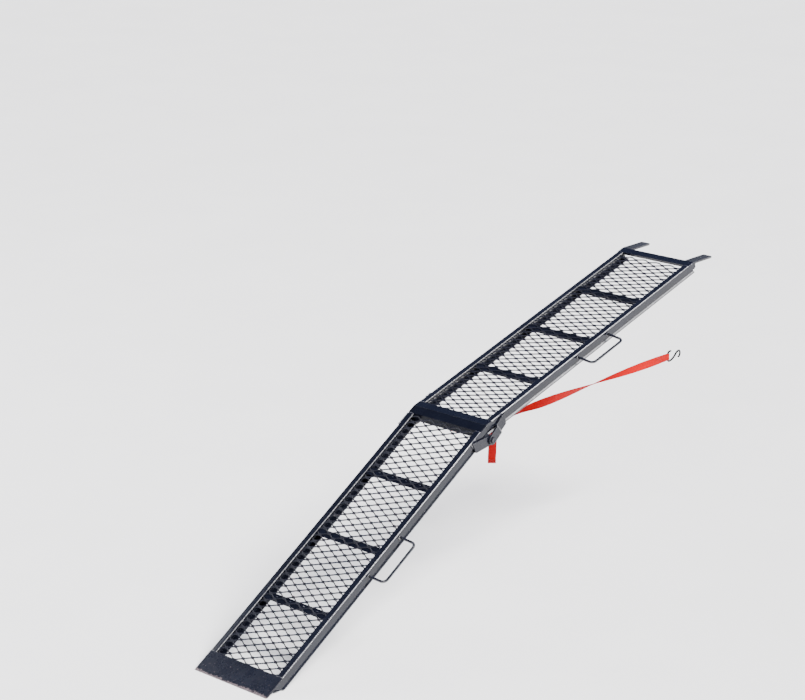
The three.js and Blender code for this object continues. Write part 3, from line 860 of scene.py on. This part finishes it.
def hinge_pin():
    """The rod and its two formed heads, with a rounded rim and a shallow dished face."""
    half = [  # (distance from the middle, radius) of one head
        (0.1512, 0.0060),
        (0.15121, 0.0090),
        (0.1515, 0.0094),
        (0.1532, 0.0095),
        (0.1543, 0.0093),
        (0.1549, 0.0087),
        (0.15515, 0.0078),
        (0.15515, 0.0062),
        (0.15485, 0.0056),
        (0.15475, 0.0030),
        (0.15470, 0.0008),
    ]
    bm = bmesh.new()
    rings = [round_ring(bm, -x, r) for x, r in reversed(half)]
    rings += [round_ring(bm, x, 0.0060) for x in (-0.09, -0.03, 0.03, 0.09)]
    rings += [round_ring(bm, x, r) for x, r in half]
    skin(bm, rings)
    bmesh.ops.recalc_face_normals(bm, faces=bm.faces)
    obj = object_of("hinge_pin_rod", bm, PIN_PAINT, "upper_panel")
    sharp(obj, 34)
    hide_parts("hinge_rod")


def sharp(obj, degrees):
    """Keeps edges sharper than this crisp."""
    bm = bmesh.new()
    bm.from_mesh(obj.data)
    for edge in bm.edges:
        edge.smooth = len(edge.link_faces) != 2 or edge.calc_face_angle(0) < math.radians(degrees)
    bm.to_mesh(obj.data)
    bm.free()


hinge_pin()


# ---------------------------------------------------------------- welds
def bead(bm, points, radius, panel, seed):
    """A rippled weld bead along a line, with rounded ends."""
    local = [Vector(p) for p in points]
    place = PANELS[panel]
    length = sum((b - a).length for a, b in zip(local, local[1:]))
    line = []
    for a, b in zip(local, local[1:]):
        count = max(2, round((b - a).length / 0.0006))
        line += [place @ a.lerp(b, i / count) for i in range(count)]
    line.append(place @ local[-1])

    def size(t):
        ripple = 0.86 + 0.14 * abs(math.sin(math.pi * t * length / 0.0021 + seed))
        wander = 1 + 0.10 * math.sin(t * length * 310 + seed * 7)
        near = min(t, 1 - t) * length / (radius * 1.2)
        return radius * ripple * wander * math.sqrt(max(0.03, 1 - (1 - min(1, near)) ** 2))

    tube(bm, line, size, 9)


def ring_bead(bm, centre, axis, around, radius, panel, seed):
    """A weld ring round a bar's foot."""
    axis = Vector(axis).normalized()
    side = axis.orthogonal().normalized()
    other = axis.cross(side)
    centre = Vector(centre)
    ring = []
    for i in range(33):
        a = 2 * math.pi * i / 32 + seed
        ring.append(centre + (side * math.cos(a) + other * math.sin(a)) * around)
    bead(bm, ring, radius, panel, seed)


def panel_welds(name, panel, sign):
    """Every weld that holds one panel together. sign is -1 for the lower panel and 1 for the upper one."""
    bm = bmesh.new()
    plate = 0.077 if sign < 0 else 0.080
    for side in (-1, 1):
        x = side * (HALF + 0.0004)
        end = sign * (plate + 0.0008)
        bead(bm, [(x, end, -0.003), (x, end, -0.0195)], 0.0022, panel, side)
        bead(bm, [(x, end, -0.0345), (x, end, -0.0372)], 0.0018, panel, side + 2)
        near = sign * (0.030 if sign < 0 else 0.055)
        bead(bm, [(x, near, -0.0012), (x, sign * (plate - 0.004), -0.0012)], 0.0016, panel, side + 4)
        for at, top in ((sign * 0.02845, -0.0006), *([(1.03885, -0.0006)] if sign > 0 else [])):
            bead(bm, [(side * 0.1215, at, top), (side * 0.1385, at, top)], 0.0011, panel, side + at)
        for cross in CROSSES[panel]:
            u = abs(cross)
            upright = cross + 0.0125
            inner = side * (HALF - 0.0074)
            bead(bm, [(inner, upright, -0.0335), (inner, upright, -0.0300)], 0.0017, panel, u + side)
            bead(bm, [(side * 0.1364, upright, -0.0195), (side * 0.1364, upright, -0.0085)], 0.0016, panel, u)
    foot = sign * HANDLE_AT
    for s in (foot - HANDLE_HALF, foot + HANDLE_HALF):
        axis = (math.cos(DROOP), 0, -math.sin(DROOP))
        ring_bead(bm, (HALF + 0.0009, s, -0.0121), axis, 0.0042, 0.0014, panel, s)
    if sign < 0:
        for side in (-1, 1):
            joint = -(LENGTH - 0.0741)
            seam = [(side * 0.1205, joint, -0.0004), (side * 0.1388, joint, -0.0004)]
            bead(bm, seam, 0.0013, panel, side + 1)
            corner = [(side * 0.1192, joint - 0.001, -0.0006), (side * 0.1150, joint + 0.0006, -0.0022)]
            bead(bm, corner, 0.0019, panel, 3)
            under = -(LENGTH - 0.042)
            below = [(side * 0.1383, under, -0.0058), (side * 0.1383, under + 0.022, -0.0058)]
            bead(bm, below, 0.0016, panel, 5)
    obj = object_of(name, bm, WELD, panel)


def finger_welds():
    """The beads down both sides of each finger's tab and along its foot, on the end bar's face."""
    bm = bmesh.new()
    for side in (-1, 1):
        middle = side * 0.1225
        for edge in (-1, 1):
            x = middle + edge * 0.0176
            if abs(x) < HALF - 0.001:
                tab = [(x, LENGTH + 0.0009, -0.002), (x, LENGTH + 0.0009, -0.0215)]
                bead(bm, tab, 0.0017, "upper_panel", x * 50)
        for half, out, v, radius, seed in (
            (0.0165, 0.0012, -0.0221, 0.0017, side),
            (0.0168, -0.0002, -0.0018, 0.0014, side + 9),
        ):
            foot = [(middle - half, LENGTH + out, v), (middle + half, LENGTH + out, v)]
            bead(bm, foot, radius, "upper_panel", seed)
    obj = object_of("finger_welds", bm, WELD, "upper_panel")


def grid_tacks(name, panel):
    """Tack welds under the flanges and on the cross members, where the expanded metal is held."""
    bm = bmesh.new()
    s0, s1 = SHEETS[panel]
    ticks = int((s1 - s0) / (2 * PITCH))
    for i in range(ticks + 1):
        s = s0 + 0.012 + i * (2 * PITCH)
        for side in (-1, 1):
            bead(bm, [(side * 0.1204, s, -0.0034), (side * 0.1204, s + 0.009, -0.0034)], 0.0012, panel, i)
    for u in CROSSES[panel]:
        for x in (-0.078, -0.026, 0.026, 0.078):
            tack = [(x - 0.003, u + 0.004, -0.0063), (x + 0.004, u + 0.004, -0.0063)]
            bead(bm, tack, 0.0011, panel, x * 90)
    obj = object_of(name, bm, WELD, panel)


panel_welds("lower_welds", "lower_panel", -1)
panel_welds("upper_welds", "upper_panel", 1)
finger_welds()
grid_tacks("lower_grid_tacks", "lower_panel")
grid_tacks("upper_grid_tacks", "upper_panel")


# ---------------------------------------------------------------- the CAD parts that stay
def dress(name, material, width):
    """Gives a CAD part its material and small rounded edges."""
    obj = nodes[name]
    obj.data.materials.clear()
    obj.data.materials.append(material)
    if "custom_normal" in obj.data.attributes:
        obj.data.attributes.remove(obj.data.attributes["custom_normal"])
    obj.data.polygons.foreach_set("use_smooth", [True] * len(obj.data.polygons))
    weld = obj.modifiers.new("one_skin", "WELD")
    weld.merge_threshold = 0.00001
    edge = obj.modifiers.new("edges", "BEVEL")
    edge.width = width
    edge.segments = 2
    edge.limit_method = "ANGLE"
    edge.angle_limit = math.radians(24)
    edge.harden_normals = True


replaced = {
    "strap_loop",
    "strap_run",
    "strap_tail",
    "strap_hook",
    "lower_grid",
    "upper_grid",
    "lower_handle",
    "upper_handle",
    "hinge_rod",
}
for name in sorted(nodes):
    if name in replaced:
        continue
    if name == "toe_plate":
        dress(name, TOE_STEEL, 0.0006)
    elif name == "strap_buckle":
        dress(name, PLATED, 0.0007)
    # Cross members and the lower fold bar get the copy of the paint with painted shade.
    elif "cross_member" in name or name == "lower_fold_bar":
        dress(name, SHADED_INNER_PAINT, 0.0006)
    elif name.startswith("tailgate_finger"):
        dress(name, FINGER_PAINT, 0.0007)
    elif name.startswith("lower"):
        dress(name, LOWER_PAINT, 0.0006)
    else:
        dress(name, UPPER_PAINT, 0.0006)


# ---------------------------------------------------------------- floor and light
def floor():
    n = Nodes("pale_floor")
    tone = n.ramp(n.noise(2.2, 3.0), (0.3, (0.83, 0.83, 0.835)), (0.7, (0.86, 0.86, 0.865)))
    material = n.set(Base_Color=tone, Roughness=0.75, Normal=n.bump(n.noise(45.0, 3.0), 0.001, 0.08))
    bm = bmesh.new()
    bmesh.ops.create_grid(bm, x_segments=8, y_segments=8, size=16)
    mesh = bpy.data.meshes.new("studio_floor")
    bm.to_mesh(mesh)
    bm.free()
    obj = bpy.data.objects.new("studio_floor", mesh)
    obj.location = (0, -0.9, GROUND - 0.0004)
    mesh.materials.append(material)
    bpy.context.scene.collection.objects.link(obj)


def area(name, place, target, size, power, colour=(1, 1, 1)):
    data = bpy.data.lights.new(name, "AREA")
    data.shape = "RECTANGLE"
    data.size, data.size_y = size
    data.energy = power
    data.color = colour
    light = bpy.data.objects.new(name, data)
    light.location = place
    light.rotation_mode = "QUATERNION"
    light.rotation_quaternion = (Vector(target) - Vector(place)).to_track_quat("-Z", "Y")
    bpy.context.scene.collection.objects.link(light)


SUN_AIM = Vector((-0.55, -0.245, -0.79))


def sun(name, strength, spread):
    """A distant round light from the right, high up. spread is its width in degrees."""
    data = bpy.data.lights.new(name, "SUN")
    data.energy = strength
    data.angle = math.radians(spread)
    data.color = (1.0, 0.985, 0.965)
    light = bpy.data.objects.new(name, data)
    light.rotation_mode = "QUATERNION"
    light.rotation_quaternion = SUN_AIM.to_track_quat("-Z", "Y")
    bpy.context.scene.collection.objects.link(light)
    return light


def studio():
    """A dim sky, blue overhead and pale at the horizon, a broad sun, its faint glint and two softboxes."""
    world = bpy.data.worlds.new("studio")
    world.use_nodes = True
    tree = world.node_tree
    back = tree.nodes["Background"]
    place = tree.nodes.new("ShaderNodeTexCoord")
    split = tree.nodes.new("ShaderNodeSeparateXYZ")
    fade = tree.nodes.new("ShaderNodeValToRGB")
    tree.links.new(place.outputs["Generated"], split.inputs[0])
    tree.links.new(split.outputs["Z"], fade.inputs[0])
    tree.links.new(fade.outputs[0], back.inputs["Color"])
    marks = fade.color_ramp.elements
    marks[0].position, marks[0].color = 0.02, (0.95, 0.96, 1.0, 1)
    marks[1].position, marks[1].color = 0.50, (0.10, 0.14, 0.33, 1)
    back.inputs["Strength"].default_value = 0.6
    bpy.context.scene.world = world
    sun("soft_sun", 10.8, 26).visible_glossy = False
    sun("glint", 1.6, 26)
    area("front", (2.4, -6.2, 3.4), (0.2, -1.2, -0.6), (3.6, 2.4), 260, (1.0, 0.99, 0.98))
    area("left", (-4.6, -3.2, 2.2), (0, -1.0, -0.6), (2.4, 2.4), 120, (0.95, 0.97, 1.0))


floor()
studio()
